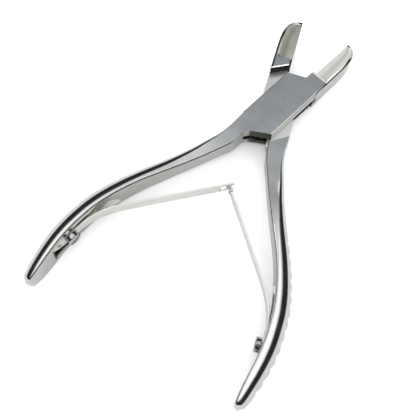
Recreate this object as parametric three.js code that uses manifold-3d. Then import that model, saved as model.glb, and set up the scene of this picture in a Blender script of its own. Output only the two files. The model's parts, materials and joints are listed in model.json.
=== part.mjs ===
// Box-joint nippers with a pair of leaf springs. Millimetres, +Z up, +Y toward the jaws.
// The pivot axis is x = y = 0 and z = 0 is the flat underside of the box.
// Each half is drawn as it lies when the jaws are shut, then turned out by OPEN_HALF_ANGLE.
import * as THREE from "three";
import { mergeVertices } from "three/addons/utils/BufferGeometryUtils.js";
import Module from "manifold-3d";

const wasm = await Module();
wasm.setup();

// ---- pose -------------------------------------------------------------------------------
const OPEN_HALF_ANGLE = THREE.MathUtils.degToRad(14); // each half, away from shut

// ---- box joint --------------------------------------------------------------------------
const BOX_WIDTH = 15.4;
const BOX_THICKNESS = 9;
const BOX_FRONT_REACH = 17.1; // pivot to the front edge of the box
const BOX_REAR_REACH = 18.6; // pivot to the rear edge of the box
const TOP_WALL = 4;
const BOTTOM_WALL = 2.1;
const SLOT_GAP = 0.3; // over and under the tang
const BOX_FRONT_CORNER = 13.5; // pivot to the front corner on the far side from the jaw
const BOX_REAR_CORNER = 13.2;
const NOTCH_RUN = 2.2; // from the rear of the box to where the handle's inner edge begins
const TURNING_ROOM = 2.1; // from the disc cut for the tang to the front of the box
const UNDERSIDE_TAPER = 1; // how far the wall under the slot leans in
const PARTING_GAP = 0.4; // between the halves when shut
const FRONT_PARTING = -0.6; // box half to the right of it, tang half to the left
const REAR_PARTING = -1.1;
const STEP_AHEAD = 2.4; // from the front of the box to the tang's jaw step
const PIN_RADIUS = 2.6;
const PIN_FIT = 0.03; // radial, pin to box
const PIN_RUNNING_FIT = 0.07; // radial, pin to tang

// ---- jaws -------------------------------------------------------------------------------
const JAW_REACH = 44.4; // pivot to the tip
const JAW_WIDTH = 7.8; // one jaw
const JAW_SHOULDER = 21.5; // pivot to the start of the cutting edge
const CUTTING_GAP = 0.3; // between the edges when shut
const EDGE_LAND = 2.4; // height of the cutting edge's flat
const RIDGE_WIDTH = 1.5; // outer rim of the hollow
const BOX_HOLLOW_START = 21.6; // pivot to the start of the box half's hollow grind
const TANG_HOLLOW_START = 24.2;
const HOLLOW_RUNOUT = 0.8;
const HOLLOW_BELLY = 0.9; // extra depth of the hollow between rim and edge
const NOSE_THICKNESS = 4.4;
const RIM_ROUND = 0.3; // corner broken along the outer rim

// ---- handles ----------------------------------------------------------------------------
const HANDLE_REACH = 122; // pivot to the end of a handle
const HANDLE_BOW = 21.8; // the handle's middle line at its widest, from the centre line
const NECK_THICKNESS = 7.5;
const WAIST_THICKNESS = 6.4;
const GRIP_THICKNESS = 6.9;
const NECK_HEIGHT = 7.4;
const GRIP_HEIGHT = 13.4;
const SCALLOP_COUNT = 12;
const SCALLOP_PITCH = 4.7;
const SCALLOP_DEPTH = 0.65;
const SCALLOP_RADIUS = 1.3;
const SCALLOP_FIRST = 0.495; // share of the reach

// ---- leaf springs -----------------------------------------------------------------------
const LEAF_WIDTH = 5.2;
const LEAF_THICKNESS = 0.8;
const LEAF_TIP_REACH = 41.9; // pivot to where the two leaves meet, at rest
const FOOT_END = 0.872; // shares of the handle's reach
const SCREW_AT = 0.803;
const FOOT_BEND = 0.755;
const KNEE_AT = 0.69;
const FOOT_PIN_AT = 0.85;
const CHANNEL_END = 0.884;
const CHANNEL_START = 0.553;
const CHANNEL_MARGIN = 1.4; // channel to each edge of the leaf
const CHANNEL_LEAST_DEPTH = 0.5;
const FOOT_TONGUE = 1.3; // half the width of the foot at its end
const FOOT_TAPER = 5.4; // from the end of the foot to its full width
const LEAF_GAP = 0.3; // leaf to whatever it lies on
const FORK_LENGTH = 6;
const FORK_OVERHANG = 2.2; // prongs beyond the ball's centre
const BALL_RADIUS = 1.1;
const BALL_GAP = 0.3; // ball to each prong
const PRONG_TRIM = 0.35; // corner off each prong
const BALL_LEAF_TRIM = 0.9; // off each edge of the leaf that carries the ball
const BALL_LEAF_RUN = 1.2; // how far that goes past the neck
const NECK_WIDTH = 1.5;
const NECK_LENGTH = 3.4;
const COLLAR_RADIUS = 1.2;
const COLLAR_THICKNESS = 0.6;
const COLLAR_AT = 2; // from the ball's centre
const SCREW_HEAD_RADIUS = 2.85;
const SCREW_HEAD_HEIGHT = 2.1;
const SCREW_SHANK_RADIUS = 1.4;
const SCREW_CHAMFER = 0.3; // around the crown of the head
const SCREW_SLOT_TURN = THREE.MathUtils.degToRad(25);
const SCREW_COVER = 3; // steel left outside the end of the screw
const SCREW_SLOT_WIDTH = 0.8;
const SCREW_SLOT_DEPTH = 0.9;
const FOOT_PIN_RADIUS = 0.7;
const FOOT_PIN_COVER = 3.5; // steel left outside the end of the pin
const FOOT_PIN_HEAD = 0.35; // above the leaf
const HOLE_FIT = 0.15; // radial, screw and pin in their holes
const HOLE_END = 0.3; // past the end of a screw or pin

const MID = BOX_THICKNESS / 2;
const HALF = BOX_WIDTH / 2;
const SLOT_RADIUS = BOX_FRONT_REACH - TURNING_ROOM;
const CHANNEL_HEIGHT = LEAF_WIDTH + 2 * CHANNEL_MARGIN;
const OVER = 1; // how far a cutter runs past what it cuts

// ---- solids -----------------------------------------------------------------------------
function solid(geometry) {
  const bare = geometry.clone();
  bare.deleteAttribute("normal");
  bare.deleteAttribute("uv");
  const merged = mergeVertices(bare, 1e-4);
  return new wasm.Manifold(
    new wasm.Mesh({
      numProp: 3,
      vertProperties: new Float32Array(merged.attributes.position.array),
      triVerts: new Uint32Array(merged.index.array),
    }),
  );
}

function geometryOf(made) {
  const mesh = made.getMesh();
  const positions = new Float32Array(mesh.numVert * 3);
  for (let i = 0; i < mesh.numVert; i++) {
    for (let k = 0; k < 3; k++) positions[3 * i + k] = mesh.vertProperties[mesh.numProp * i + k];
  }
  const geometry = new THREE.BufferGeometry();
  geometry.setAttribute("position", new THREE.BufferAttribute(positions, 3));
  geometry.setIndex(new THREE.BufferAttribute(new Uint32Array(mesh.triVerts), 1));
  return geometry;
}

// A flat plate: an outline of [x, y] pairs, from z low to z high.
function plate(outline, low, high) {
  const shape = new THREE.Shape(outline.map(([x, y]) => new THREE.Vector2(x, y)));
  const made = new THREE.ExtrudeGeometry(shape, { depth: high - low, bevelEnabled: false });
  made.translate(0, 0, low);
  return solid(made);
}

function rod(radius, from, to, segments = 48) {
  const axis = to.clone().sub(from);
  const made = new THREE.CylinderGeometry(radius, radius, axis.length(), segments);
  const up = new THREE.Vector3(0, 1, 0);
  made.applyQuaternion(new THREE.Quaternion().setFromUnitVectors(up, axis.clone().normalize()));
  const middle = from.clone().add(to).multiplyScalar(0.5);
  made.translate(middle.x, middle.y, middle.z);
  return solid(made);
}

// Joins rings with the same number of corners, in order, into one closed skin.
function loft(rings) {
  const corners = rings[0].length;
  const positions = rings.flat(2);
  const faces = [];
  for (let r = 0; r + 1 < rings.length; r++) {
    for (let c = 0; c < corners; c++) {
      const here = r * corners + c;
      const next = r * corners + ((c + 1) % corners);
      faces.push(here, next, next + corners, here, next + corners, here + corners);
    }
  }
  for (const [start, flip] of [
    [0, true],
    [(rings.length - 1) * corners, false],
  ]) {
    const flat = rings[start / corners].map(([x, , z]) => new THREE.Vector2(x, z));
    const ringSign = Math.sign(THREE.ShapeUtils.area(flat));
    for (const [a, b, c] of THREE.ShapeUtils.triangulateShape(flat, [])) {
      const sameWay = Math.sign(THREE.ShapeUtils.area([flat[a], flat[b], flat[c]])) === ringSign;
      const face = [start + a, start + b, start + c];
      faces.push(...(sameWay === flip ? face.reverse() : face));
    }
  }
  const made = new THREE.BufferGeometry();
  made.setAttribute("position", new THREE.BufferAttribute(new Float32Array(positions), 3));
  made.setIndex(faces);
  const tried = solid(made);
  if (tried.volume() > 0) return tried;
  for (let i = 0; i < faces.length; i += 3) [faces[i + 1], faces[i + 2]] = [faces[i + 2], faces[i + 1]];
  made.setIndex(faces);
  return solid(made);
}

// A smooth curve through [position, value] rows, read at a position.
function through(rows, at) {
  let i = rows.findIndex(([position]) => position >= at);
  if (i < 0) return rows[rows.length - 1][1];
  if (i === 0) return rows[0][1];
  i -= 1;
  const slope = (k) => {
    const before = rows[Math.max(0, k - 1)];
    const after = rows[Math.min(rows.length - 1, k + 1)];
    return (after[1] - before[1]) / (after[0] - before[0]);
  };
  const [x0, y0] = rows[i];
  const [x1, y1] = rows[i + 1];
  const span = x1 - x0;
  const t = (at - x0) / span;
  const start = (2 * t ** 3 - 3 * t ** 2 + 1) * y0 + (t ** 3 - 2 * t ** 2 + t) * span * slope(i);
  return start + (3 * t ** 2 - 2 * t ** 3) * y1 + (t ** 3 - t ** 2) * span * slope(i + 1);
}

// ---- handle shape, in rows of [share of the reach, value] -------------------------------
const MIDDLE_LINE = [ // share of the bow
  [0.11, 0.18], [0.165, 0.18], [0.215, 0.219], [0.27, 0.31], [0.33, 0.409], [0.4, 0.542],
  [0.46, 0.667], [0.52, 0.788], [0.576, 0.882], [0.64, 0.961], [0.695, 0.998], [0.74, 1],
  [0.79, 0.986], [0.845, 0.942], [0.9, 0.869], [0.945, 0.798], [0.975, 0.75], [1, 0.706],
];
const TO_WAIST = [ // from the neck's thickness, 0, to the waist's, 1
  [0.215, 0], [0.27, 0.23], [0.33, 0.67], [0.4, 0.95], [0.46, 1],
];
const TO_GRIP = [ // from the waist's thickness, 0, to the grip's, 1
  [0.52, 0], [0.576, 0.28], [0.64, 0.66], [0.695, 0.84], [0.74, 0.94], [0.79, 1],
];
const END_THICKNESS = [ // share of the thickness left toward the blunt end
  [0.8, 1], [0.845, 0.99], [0.9, 0.942], [0.945, 0.84], [0.975, 0.7], [0.99, 0.55], [1, 0.26],
];
const SWELLING = [ // from the neck's height, 0, to the grip's, 1
  [0.3, 0], [0.4, 0.12], [0.5, 0.37], [0.62, 0.68], [0.74, 0.937], [0.84, 1],
];
const END_HEIGHT = [
  [0.84, 1], [0.9, 0.963], [0.94, 0.873], [0.97, 0.739], [0.988, 0.597], [1, 0.41],
];
const ROOT = [ // how much of the box's own thickness the neck keeps
  [0.175, 1], [0.23, 0.28], [0.3, 0],
];
const TOP_FLAT = [ // share of the thickness that is flat on top
  [0.11, 0.9], [0.17, 0.85], [0.25, 0.7], [0.35, 0.48], [0.45, 0.25], [0.55, 0.1], [0.65, 0.05],
];
const HANDLE_START = 0.11;
const HANDLE_SLICES = 44;
const SLICE_CROWDING = 1.25; // above 1, slices lie closer together toward the end
const ROUND_STEPS = 6;

function heightAt(share) {
  const plain = THREE.MathUtils.lerp(NECK_HEIGHT, GRIP_HEIGHT, through(SWELLING, share));
  return THREE.MathUtils.lerp(plain, BOX_THICKNESS, through(ROOT, share)) * through(END_HEIGHT, share);
}

function thicknessAt(share) {
  const slim = THREE.MathUtils.lerp(NECK_THICKNESS, WAIST_THICKNESS, through(TO_WAIST, share));
  const full = THREE.MathUtils.lerp(slim, GRIP_THICKNESS, through(TO_GRIP, share));
  return full * through(END_THICKNESS, share);
}

const innerAt = (share) => through(MIDDLE_LINE, share) * HANDLE_BOW - thicknessAt(share) / 2;
const outerAt = (share) => through(MIDDLE_LINE, share) * HANDLE_BOW + thicknessAt(share) / 2;

const CHANNEL_FLOOR = (() => {
  let deepest = 0;
  for (let share = CHANNEL_START; share < CHANNEL_END; share += 0.01) {
    deepest = Math.max(deepest, innerAt(share));
  }
  return deepest + CHANNEL_LEAST_DEPTH;
})();
const SCREW_END = outerAt(SCREW_AT) - SCALLOP_DEPTH - SCREW_COVER;
const FOOT_PIN_END = outerAt(FOOT_PIN_AT) - FOOT_PIN_COVER;

// One handle on the +X side: a flat inner face and a rounded back.
function handle() {
  const rings = [];
  for (let i = 0; i <= HANDLE_SLICES; i++) {
    const even = i / HANDLE_SLICES;
    const share = HANDLE_START + (1 - HANDLE_START) * (1 - (1 - even) ** SLICE_CROWDING);
    const inner = innerAt(share);
    const outer = outerAt(share);
    const half = heightAt(share) / 2;
    const flat = inner + through(TOP_FLAT, share) * (outer - inner);
    const back = -share * HANDLE_REACH;
    const ring = [
      [inner, back, MID - half],
      [inner, back, MID + half],
    ];
    for (let k = -ROUND_STEPS; k <= ROUND_STEPS; k++) {
      const angle = ((k / ROUND_STEPS) * Math.PI) / 2;
      ring.push([flat + (outer - flat) * Math.cos(angle), back, MID - half * Math.sin(angle)]);
    }
    rings.push(ring);
  }
  return loft(rings);
}

// ---- jaw shape --------------------------------------------------------------------------
const JAW_OUTER = [
  [0.3, 1], [0.6, 1], [0.72, 0.985], [0.8, 0.94], [0.88, 0.85], [0.94, 0.7], [0.975, 0.53], [1, 0.3],
];
const JAW_TOP = [
  [0.3, 1], [0.6, 1], [0.75, 0.98], [0.85, 0.93], [0.92, 0.82], [0.97, 0.65], [1, 0.5],
];
const JAW_START = BOX_FRONT_REACH - 3;
const JAW_SLICES = 26;
const HOLLOW_STEPS = 7;
const LEAST_HOLLOW = 0.4; // share of the width that the rim always leaves to the hollow
const RIM_RISE = 1.5; // power of the hollow's rise to the rim

// One jaw on the +X side, from the box to the tip, with a hollow ground above and below.
function jaw(hollowStart) {
  const rings = [];
  const stops = [];
  for (let i = 0; i <= JAW_SLICES; i++) {
    stops.push(JAW_START + ((JAW_REACH - JAW_START) * i) / JAW_SLICES);
  }
  stops.push(hollowStart, hollowStart + HOLLOW_RUNOUT);
  stops.sort((a, b) => a - b);
  for (const along of stops) {
    const share = along / JAW_REACH;
    const outer = JAW_WIDTH * through(JAW_OUTER, share);
    const drop = (1 - through(JAW_TOP, share)) / (1 - JAW_TOP[JAW_TOP.length - 1][1]);
    const half = MID - (drop * (BOX_THICKNESS - NOSE_THICKNESS)) / 2;
    const ground = THREE.MathUtils.clamp((along - hollowStart) / HOLLOW_RUNOUT, 0, 1);
    const land = THREE.MathUtils.lerp(half, EDGE_LAND / 2, ground);
    const edge = CUTTING_GAP / 2;
    const rim = Math.max(edge + LEAST_HOLLOW * (outer - edge), outer - RIDGE_WIDTH);
    const upper = [];
    for (let k = 0; k <= HOLLOW_STEPS; k++) {
      const t = k / HOLLOW_STEPS;
      const belly = ground * HOLLOW_BELLY * Math.sin(Math.PI * t);
      const rise = (half - land) * t ** RIM_RISE;
      upper.push([THREE.MathUtils.lerp(edge, rim, t), land + rise - belly]);
    }
    upper.push([outer - RIM_ROUND, half]);
    upper.push([outer, half - RIM_ROUND]);
    const ring = upper.map(([x, z]) => [x, along, MID + z]);
    ring.push(...upper.reverse().map(([x, z]) => [x, along, MID - z]));
    rings.push(ring);
  }
  return loft(rings);
}

// ---- outlines of the shut tool ----------------------------------------------------------
const ROOT_OUTSIDE = outerAt(HANDLE_START);
const OVERLAP = 1; // how far a handle or jaw runs into the plate that it belongs to

// The rear edge of the box's top wall, from its outer corner to its notch.
const REAR_EDGE = [
  [HALF, -BOX_REAR_CORNER],
  [REAR_PARTING + 2 * PARTING_GAP, -BOX_REAR_REACH],
];

function boxOutline() {
  const left = REAR_PARTING - PARTING_GAP / 2;
  const front = FRONT_PARTING + PARTING_GAP / 2;
  return [
    [-HALF, BOX_FRONT_CORNER],
    [front, BOX_FRONT_REACH],
    [front, JAW_SHOULDER],
    [JAW_WIDTH - RIM_ROUND, JAW_SHOULDER],
    [HALF, BOX_FRONT_REACH - RIM_ROUND],
    ...REAR_EDGE,
    [left, -BOX_REAR_REACH - NOTCH_RUN],
    [left, -BOX_REAR_REACH - NOTCH_RUN - OVERLAP],
    [-ROOT_OUTSIDE, -BOX_REAR_REACH - OVERLAP],
    [-HALF, -BOX_REAR_CORNER],
  ];
}

// Where the tang sweeps between shut and open, seen from the box half.
function slotCutter(low, high) {
  const far = 3 * BOX_WIDTH;
  const wide = PARTING_GAP / 2;
  const disc = rod(SLOT_RADIUS, new THREE.Vector3(0, 0, low), new THREE.Vector3(0, 0, high), 64);
  const front = plate(
    [
      [FRONT_PARTING + wide, 0],
      [FRONT_PARTING + wide, far],
      [-far, far],
      [-far, 0],
    ],
    low,
    high,
  );
  const rear = plate(
    [
      [REAR_PARTING - wide, 0],
      [REAR_PARTING - wide, -far],
      [far, -far],
      [far, 0],
    ],
    low,
    high,
  );
  return disc.add(front).add(rear);
}

// Points on a circle about the pivot, from one x to another, ahead of the pivot or behind it.
function arc(radius, fromX, toX, ahead) {
  const steps = 8;
  const points = [];
  for (let i = 0; i <= steps; i++) {
    const share = i / steps;
    const angle = THREE.MathUtils.lerp(Math.asin(fromX / radius), Math.asin(toX / radius), share);
    points.push([radius * Math.sin(angle), (ahead ? 1 : -1) * radius * Math.cos(angle)]);
  }
  return points;
}

function tangOutline() {
  const front = FRONT_PARTING - PARTING_GAP / 2;
  const rear = REAR_PARTING + PARTING_GAP / 2;
  const turn = SLOT_RADIUS - PARTING_GAP;
  const inset = HALF - PARTING_GAP;
  return [
    [-HALF, BOX_FRONT_CORNER + STEP_AHEAD + OVERLAP],
    [-HALF, 0],
    ...arc(turn, -inset, rear, false),
    [rear, -BOX_REAR_REACH],
    [innerAt(HANDLE_START) + OVERLAP / 4, -BOX_REAR_REACH - 2 * OVERLAP],
    [ROOT_OUTSIDE, -BOX_REAR_CORNER - 3 * OVERLAP],
    [ROOT_OUTSIDE, -BOX_REAR_CORNER],
    [inset, -2 * OVERLAP],
    ...arc(turn, inset, front, true),
    [front, BOX_FRONT_REACH + STEP_AHEAD + OVERLAP],
  ];
}

// ---- leaf path, on the +X side ----------------------------------------------------------
const FOOT_X = CHANNEL_FLOOR - LEAF_GAP - LEAF_THICKNESS / 2;
const turnBy = (point, angle) => point.clone().rotateAround(new THREE.Vector2(0, 0), angle);
const TIP = turnBy(new THREE.Vector2(0, -LEAF_TIP_REACH), -OPEN_HALF_ANGLE);

function leafLine(overhang) {
  const bend = new THREE.Vector2(FOOT_X, -FOOT_BEND * HANDLE_REACH);
  const knee = new THREE.Vector2(FOOT_X, -KNEE_AT * HANDLE_REACH);
  const away = TIP.clone().sub(knee).normalize();
  const join = knee.clone().addScaledVector(away, knee.distanceTo(bend) * 1.5);
  const curve = new THREE.QuadraticBezierCurve(bend, knee, join);
  const line = [new THREE.Vector2(FOOT_X, -FOOT_END * HANDLE_REACH), ...curve.getPoints(12)];
  line.push(TIP.clone().addScaledVector(away, overhang));
  return { line, away };
}

// A strip of even thickness along a line, LEAF_WIDTH tall about the middle height.
function strip(line, width) {
  const left = [];
  const right = [];
  line.forEach((point, i) => {
    const before = line[Math.max(0, i - 1)];
    const after = line[Math.min(line.length - 1, i + 1)];
    const along = after.clone().sub(before).normalize();
    const side = new THREE.Vector2(-along.y, along.x).multiplyScalar(LEAF_THICKNESS / 2);
    left.push([point.x + side.x, point.y + side.y]);
    right.push([point.x - side.x, point.y - side.y]);
  });
  return plate([...left, ...right.reverse()], MID - width / 2, MID + width / 2);
}

const at3 = (point, z = MID) => new THREE.Vector3(point.x, point.y, z);
const screwAxis = (reach) => new THREE.Vector2(reach, -SCREW_AT * HANDLE_REACH);
const footPinAxis = (reach) => new THREE.Vector2(reach, -FOOT_PIN_AT * HANDLE_REACH);

// Narrows and rounds the end of the foot, and drills it for its screw and pin.
function withFoot(leaf) {
  const end = -FOOT_END * HANDLE_REACH;
  const cut = [1, -1].map((side) => {
    const corner = new THREE.Shape([
      new THREE.Vector2(end - OVER, side * LEAF_WIDTH),
      new THREE.Vector2(end - OVER, side * FOOT_TONGUE),
      new THREE.Vector2(end, side * FOOT_TONGUE),
      new THREE.Vector2(end + FOOT_TAPER, (side * LEAF_WIDTH) / 2),
      new THREE.Vector2(end + FOOT_TAPER, side * LEAF_WIDTH),
    ]);
    const made = new THREE.ExtrudeGeometry(corner, { depth: 4 * LEAF_THICKNESS, bevelEnabled: false });
    const turn = new THREE.Matrix4().makeBasis(
      new THREE.Vector3(0, 1, 0),
      new THREE.Vector3(0, 0, 1),
      new THREE.Vector3(1, 0, 0),
    );
    made.applyMatrix4(turn);
    made.translate(FOOT_X - 2 * LEAF_THICKNESS, 0, MID);
    return solid(made);
  });
  const near = FOOT_X - 2 * LEAF_THICKNESS;
  const far = FOOT_X + 2 * LEAF_THICKNESS;
  const screwHole = rod(SCREW_SHANK_RADIUS + HOLE_FIT, at3(screwAxis(near)), at3(screwAxis(far)), 24);
  const pinHole = rod(FOOT_PIN_RADIUS + HOLE_FIT, at3(footPinAxis(near)), at3(footPinAxis(far)), 16);
  return leaf.subtract(cut[0]).subtract(cut[1]).subtract(screwHole).subtract(pinHole);
}

// A block across the leaf, placed along it at a distance from the tip, for cutting it.
function acrossLeaf(away, from, to, low, high) {
  const side = new THREE.Vector2(-away.y, away.x).multiplyScalar(3 * LEAF_THICKNESS);
  const near = TIP.clone().addScaledVector(away, from);
  const far = TIP.clone().addScaledVector(away, to);
  const outline = [
    [near.x + side.x, near.y + side.y],
    [far.x + side.x, far.y + side.y],
    [far.x - side.x, far.y - side.y],
    [near.x - side.x, near.y - side.y],
  ];
  return plate(outline.reverse(), MID + low, MID + high);
}

function forkedLeaf() {
  const { line, away } = leafLine(FORK_OVERHANG);
  const notch = BALL_RADIUS + BALL_GAP;
  const slot = acrossLeaf(away, FORK_OVERHANG - FORK_LENGTH, FORK_OVERHANG + OVER, -notch, notch);
  let leaf = withFoot(strip(line, LEAF_WIDTH)).subtract(slot);
  const from = FORK_OVERHANG - 2 * PRONG_TRIM;
  for (const side of [1, -1]) {
    const low = side > 0 ? LEAF_WIDTH / 2 - PRONG_TRIM : -LEAF_WIDTH;
    const high = side > 0 ? LEAF_WIDTH : -LEAF_WIDTH / 2 + PRONG_TRIM;
    leaf = leaf.subtract(acrossLeaf(away, from, FORK_OVERHANG + OVER, low, high));
  }
  return leaf;
}

function ballLeaf() {
  const { line, away } = leafLine(-NECK_LENGTH);
  const ball = new THREE.SphereGeometry(BALL_RADIUS, 20, 12);
  ball.translate(TIP.x, TIP.y, MID);
  const start = TIP.clone().addScaledVector(away, -NECK_LENGTH - OVER / 2);
  const neck = rod(NECK_WIDTH / 2, at3(start), at3(TIP), 16);
  const near = TIP.clone().addScaledVector(away, -COLLAR_AT);
  const far = TIP.clone().addScaledVector(away, -COLLAR_AT - COLLAR_THICKNESS);
  const collar = rod(COLLAR_RADIUS, at3(near), at3(far), 20);
  let leaf = withFoot(strip(line, LEAF_WIDTH));
  for (const side of [1, -1]) {
    const low = side > 0 ? LEAF_WIDTH / 2 - BALL_LEAF_TRIM : -LEAF_WIDTH;
    const high = side > 0 ? LEAF_WIDTH : -LEAF_WIDTH / 2 + BALL_LEAF_TRIM;
    leaf = leaf.subtract(acrossLeaf(away, -NECK_LENGTH - BALL_LEAF_RUN, OVER, low, high));
  }
  return leaf.add(neck).add(collar).add(solid(ball));
}

// A slotted cheese-head screw on the +X side, driven outward into the handle.
function leafScrew() {
  const under = FOOT_X - LEAF_THICKNESS / 2 - LEAF_GAP;
  const end = SCREW_HEAD_HEIGHT + SCREW_END - under;
  const profile = [
    new THREE.Vector2(0, 0),
    new THREE.Vector2(SCREW_HEAD_RADIUS - SCREW_CHAMFER, 0),
    new THREE.Vector2(SCREW_HEAD_RADIUS, SCREW_CHAMFER),
    new THREE.Vector2(SCREW_HEAD_RADIUS, SCREW_HEAD_HEIGHT),
    new THREE.Vector2(SCREW_SHANK_RADIUS, SCREW_HEAD_HEIGHT),
    new THREE.Vector2(SCREW_SHANK_RADIUS, end),
    new THREE.Vector2(0, end),
  ];
  const made = new THREE.LatheGeometry(profile, 28);
  made.rotateZ(-Math.PI / 2);
  const seat = screwAxis(under - SCREW_HEAD_HEIGHT);
  made.translate(seat.x, seat.y, MID);
  const across = 3 * SCREW_HEAD_RADIUS;
  const slot = new THREE.BoxGeometry(2 * SCREW_SLOT_DEPTH, across, SCREW_SLOT_WIDTH);
  slot.rotateX(SCREW_SLOT_TURN);
  slot.translate(seat.x, seat.y, MID);
  return solid(made).subtract(solid(slot));
}

function footPin() {
  const from = footPinAxis(FOOT_X - LEAF_THICKNESS / 2 - FOOT_PIN_HEAD);
  return rod(FOOT_PIN_RADIUS, at3(from), at3(footPinAxis(FOOT_PIN_END)), 16);
}

// Everything cut from a handle for its leaf, on the +X side.
const CHANNEL_RAMP = [ // from the start of the channel, and what its floor lacks there
  [2.2, 1.1], [4.4, 0.3], [7, 0],
];

function channelCutter() {
  const start = -CHANNEL_START * HANDLE_REACH;
  const end = -CHANNEL_END * HANDLE_REACH;
  const open = innerAt(CHANNEL_START) - HANDLE_BOW / 3;
  const outline = [
    [open, start + OVER],
    [innerAt(CHANNEL_START), start],
    ...CHANNEL_RAMP.map(([along, lack]) => [CHANNEL_FLOOR - lack, start - along]),
    [CHANNEL_FLOOR, end],
    [open, end],
  ];
  const screwHole = rod(
    SCREW_SHANK_RADIUS + HOLE_FIT,
    at3(screwAxis(CHANNEL_FLOOR - OVER)),
    at3(screwAxis(SCREW_END + HOLE_END)),
    24,
  );
  const pinHole = rod(
    FOOT_PIN_RADIUS + HOLE_FIT,
    at3(footPinAxis(CHANNEL_FLOOR - OVER)),
    at3(footPinAxis(FOOT_PIN_END + HOLE_END)),
    16,
  );
  const tall = CHANNEL_HEIGHT / 2;
  return plate(outline, MID - tall, MID + tall).add(screwHole).add(pinHole);
}

function scallopCutter() {
  let all = null;
  for (let i = 0; i < SCALLOP_COUNT; i++) {
    const share = SCALLOP_FIRST + (i * SCALLOP_PITCH) / HANDLE_REACH;
    const step = 0.01;
    const slope = (outerAt(share + step) - outerAt(share - step)) / (2 * step * HANDLE_REACH);
    const normal = new THREE.Vector2(1, slope).normalize();
    const out = SCALLOP_RADIUS - SCALLOP_DEPTH;
    const x = outerAt(share) + normal.x * out;
    const y = -share * HANDLE_REACH + normal.y * out;
    const tall = heightAt(share) / 2 + OVER;
    const groove = rod(
      SCALLOP_RADIUS,
      new THREE.Vector3(x, y, MID - tall),
      new THREE.Vector3(x, y, MID + tall),
      14,
    );
    all = all ? all.add(groove) : groove;
  }
  return all;
}

const mirrorX = (made) => made.mirror([1, 0, 0]);

// ---- the two halves ---------------------------------------------------------------------
function pinHoleCutter(radius) {
  return rod(radius, new THREE.Vector3(0, 0, -OVER), new THREE.Vector3(0, 0, BOX_THICKNESS + OVER));
}

function boxHalf() {
  const left = REAR_PARTING - PARTING_GAP / 2;
  const far = 2 * HANDLE_REACH;
  const behindBox = plate(
    [
      [left, -BOX_REAR_REACH - NOTCH_RUN],
      [left, -far],
      [far, -far],
      [far, -BOX_REAR_REACH],
      REAR_EDGE[REAR_EDGE.length - 1],
    ],
    -BOX_THICKNESS,
    2 * BOX_THICKNESS,
  );
  // The wall under the slot leans in on the side where the tang comes out.
  const lean = new THREE.Shape([
    new THREE.Vector2(HALF + OVER, -OVER),
    new THREE.Vector2(HALF + OVER, BOTTOM_WALL),
    new THREE.Vector2(HALF, BOTTOM_WALL),
    new THREE.Vector2(HALF - UNDERSIDE_TAPER, 0),
    new THREE.Vector2(HALF - UNDERSIDE_TAPER, -OVER),
  ]);
  const slotEnd = Math.sqrt(SLOT_RADIUS ** 2 - HALF ** 2);
  const depth = BOX_REAR_CORNER + slotEnd;
  const leanCut = new THREE.ExtrudeGeometry(lean, { depth, bevelEnabled: false });
  leanCut.rotateX(Math.PI / 2);
  leanCut.translate(0, slotEnd, 0);
  const ownHandle = mirrorX(handle()).subtract(behindBox).subtract(mirrorX(channelCutter()));
  return plate(boxOutline(), 0, BOX_THICKNESS)
    .add(jaw(BOX_HOLLOW_START))
    .add(ownHandle)
    .subtract(slotCutter(BOTTOM_WALL, BOX_THICKNESS - TOP_WALL))
    .subtract(pinHoleCutter(PIN_RADIUS + PIN_FIT))
    .subtract(solid(leanCut));
}

function tangHalf() {
  const front = FRONT_PARTING - PARTING_GAP / 2;
  const rear = REAR_PARTING + PARTING_GAP / 2;
  const far = 2 * HANDLE_REACH;
  const clear = 1.5 * PARTING_GAP;
  const aheadOfBox = plate(
    [
      [front, BOX_FRONT_REACH + STEP_AHEAD],
      [front, JAW_SHOULDER + PARTING_GAP],
      [0, JAW_SHOULDER + 2 * PARTING_GAP],
      [0, far],
      [-far, far],
      [-far, BOX_FRONT_CORNER + STEP_AHEAD],
      [-HALF, BOX_FRONT_CORNER + STEP_AHEAD],
    ],
    -BOX_THICKNESS,
    2 * BOX_THICKNESS,
  );
  const behindBox = plate(
    [
      [rear, -far],
      [far, -far],
      [far, -BOX_REAR_CORNER - clear],
      ...REAR_EDGE.map(([x, y]) => [x, y - clear]),
      [rear, -BOX_REAR_REACH - NOTCH_RUN],
    ],
    -BOX_THICKNESS,
    2 * BOX_THICKNESS,
  );
  const ownJaw = mirrorX(jaw(TANG_HOLLOW_START)).intersect(aheadOfBox);
  const ownHandle = handle().intersect(behindBox).subtract(channelCutter()).subtract(scallopCutter());
  const low = BOTTOM_WALL + SLOT_GAP;
  const high = BOX_THICKNESS - TOP_WALL - SLOT_GAP;
  return plate(tangOutline(), low, high)
    .add(ownJaw)
    .add(ownHandle)
    .subtract(pinHoleCutter(PIN_RADIUS + PIN_RUNNING_FIT));
}

// ---- the part ---------------------------------------------------------------------------
const STEEL = { color: 0xb9bec2, roughness: 0.3, metalness: 1 };
const SPRING_STEEL = { color: 0xc8cac8, roughness: 0.25, metalness: 1 };
const DARK_STEEL = { color: 0x8c8f90, roughness: 0.28, metalness: 1 };

const part = new THREE.Group();

function place(name, made, turn, look) {
  const mesh = new THREE.Mesh(geometryOf(made), new THREE.MeshStandardMaterial(look));
  mesh.geometry.rotateZ(turn);
  mesh.name = name;
  part.add(mesh);
}

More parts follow.
